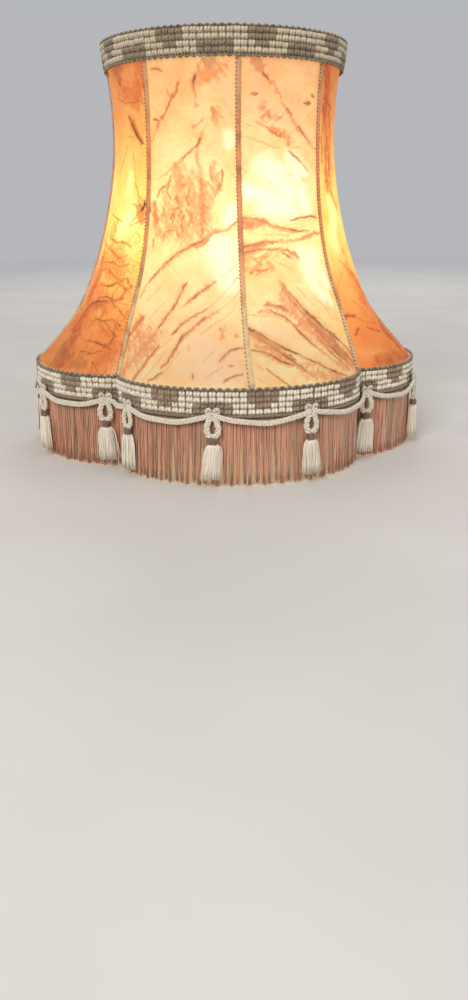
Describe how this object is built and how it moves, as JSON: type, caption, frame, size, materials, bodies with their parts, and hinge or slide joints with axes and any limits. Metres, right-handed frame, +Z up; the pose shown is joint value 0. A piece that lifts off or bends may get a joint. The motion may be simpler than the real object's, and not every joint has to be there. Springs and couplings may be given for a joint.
{
  "type": "lamp shade",
  "caption": "Bell-shaped table lamp shade with a scalloped foot, laced skin panels on a wire frame, woven braid, cut fringe, a swagged cord and swinging tassels.",
  "frame": {"origin": "centre of the fitter ring's underside, in the plane that rests on the lampholder's shoulder", "axes": "+Z up through the top ring; -Y towards the front centre seam, at the middle of the front lobe; +X towards the right lobe"},
  "size_m": [0.333, 0.3348, 0.312],
  "materials": {
    "skin": "translucent goatskin, marbled amber, satin",
    "frame_wire": "cream enamelled steel wire",
    "fitter": "plated steel, dull brass colour",
    "lacing": "waxed thread, whipped",
    "braid": "crocheted braid, off-white and brown",
    "fringe": "cut copper-brown rayon threads",
    "cord": "off-white crocheted cord",
    "tassel": "cream threads under a brown bound collar"
  },
  "bodies": {
    "shade": {"top_ring": "frame_wire", "upper_rim_ring": "frame_wire", "lower_rim_ring": "frame_wire", "rib_1": "frame_wire", "rib_2": "frame_wire", "rib_3": "frame_wire", "rib_4": "frame_wire", "rib_5": "frame_wire", "rib_6": "frame_wire", "rib_7": "frame_wire", "rib_8": "frame_wire", "fitter_ring": "fitter", "fitter_arm_1": "frame_wire", "fitter_arm_2": "frame_wire", "fitter_arm_3": "frame_wire", "fitter_arm_4": "frame_wire", "panel_1": "skin", "panel_2": "skin", "panel_3": "skin", "panel_4": "skin", "panel_5": "skin", "panel_6": "skin", "panel_7": "skin", "panel_8": "skin", "gallery_band": "skin", "seam_lace_1": "lacing", "seam_lace_2": "lacing", "seam_lace_3": "lacing", "seam_lace_4": "lacing", "seam_lace_5": "lacing", "seam_lace_6": "lacing", "seam_lace_7": "lacing", "seam_lace_8": "lacing", "top_braid": "braid", "bottom_braid": "braid", "fringe": "fringe", "swag_cord": "cord"},
    "tassel_body_1": {"tassel_1": "tassel"},
    "tassel_body_2": {"tassel_2": "tassel"},
    "tassel_body_3": {"tassel_3": "tassel"},
    "tassel_body_4": {"tassel_4": "tassel"},
    "tassel_body_5": {"tassel_5": "tassel"},
    "tassel_body_6": {"tassel_6": "tassel"},
    "tassel_body_7": {"tassel_7": "tassel"},
    "tassel_body_8": {"tassel_8": "tassel"},
    "tassel_body_9": {"tassel_9": "tassel"},
    "tassel_body_10": {"tassel_10": "tassel"},
    "tassel_body_11": {"tassel_11": "tassel"},
    "tassel_body_12": {"tassel_12": "tassel"},
    "tassel_body_13": {"tassel_13": "tassel"},
    "tassel_body_14": {"tassel_14": "tassel"}
  },
  "joints": [
    {"name": "tassel_1_swing", "type": "hinge", "parent": "shade", "child": "tassel_body_1", "pos_m": [-0.08775, -0.12136, -0.0478], "axis": [-0.8103, 0.5859, 0], "range_deg": [0, 45]},
    {"name": "tassel_2_swing", "type": "hinge", "parent": "shade", "child": "tassel_body_2", "pos_m": [-0.02833, -0.16153, -0.0478], "axis": [-0.985, 0.1728, 0], "range_deg": [0, 45]},
    {"name": "tassel_3_swing", "type": "hinge", "parent": "shade", "child": "tassel_body_3", "pos_m": [0.04384, -0.15656, -0.0478], "axis": [-0.963, -0.2697, 0], "range_deg": [0, 45]},
    {"name": "tassel_4_swing", "type": "hinge", "parent": "shade", "child": "tassel_body_4", "pos_m": [0.10058, -0.09665, -0.0478], "axis": [-0.6929, -0.7211, 0], "range_deg": [0, 45]},
    {"name": "tassel_5_swing", "type": "hinge", "parent": "shade", "child": "tassel_body_5", "pos_m": [0.15399, -0.0497, -0.0478], "axis": [-0.3071, -0.9517, 0], "range_deg": [0, 45]},
    {"name": "tassel_6_swing", "type": "hinge", "parent": "shade", "child": "tassel_body_6", "pos_m": [0.16287, 0.02208, -0.0478], "axis": [0.1343, -0.9909, 0], "range_deg": [0, 45]},
    {"name": "tassel_7_swing", "type": "hinge", "parent": "shade", "child": "tassel_body_7", "pos_m": [0.12662, 0.08412, -0.0478], "axis": [0.5534, -0.8329, 0], "range_deg": [0, 45]},
    {"name": "tassel_8_swing", "type": "hinge", "parent": "shade", "child": "tassel_body_8", "pos_m": [0.06896, 0.14208, -0.0478], "axis": [0.8996, -0.4366, 0], "range_deg": [0, 45]},
    {"name": "tassel_9_swing", "type": "hinge", "parent": "shade", "child": "tassel_body_9", "pos_m": [0.00049, 0.1649, -0.0478], "axis": [1, -0.003, 0], "range_deg": [0, 45]},
    {"name": "tassel_10_swing", "type": "hinge", "parent": "shade", "child": "tassel_body_10", "pos_m": [-0.06818, 0.14269, -0.0478], "axis": [0.9023, 0.4312, 0], "range_deg": [0, 45]},
    {"name": "tassel_11_swing", "type": "hinge", "parent": "shade", "child": "tassel_body_11", "pos_m": [-0.12583, 0.08471, -0.0478], "axis": [0.5584, 0.8295, 0], "range_deg": [0, 45]},
    {"name": "tassel_12_swing", "type": "hinge", "parent": "shade", "child": "tassel_body_12", "pos_m": [-0.16268, 0.02305, -0.0478], "axis": [0.1403, 0.9901, 0], "range_deg": [0, 45]},
    {"name": "tassel_13_swing", "type": "hinge", "parent": "shade", "child": "tassel_body_13", "pos_m": [-0.15441, -0.04881, -0.0478], "axis": [-0.3014, 0.9535, 0], "range_deg": [0, 45]},
    {"name": "tassel_14_swing", "type": "hinge", "parent": "shade", "child": "tassel_body_14", "pos_m": [-0.10415, -0.09567, -0.0478], "axis": [-0.6765, 0.7364, 0], "range_deg": [0, 45]}
  ]
}
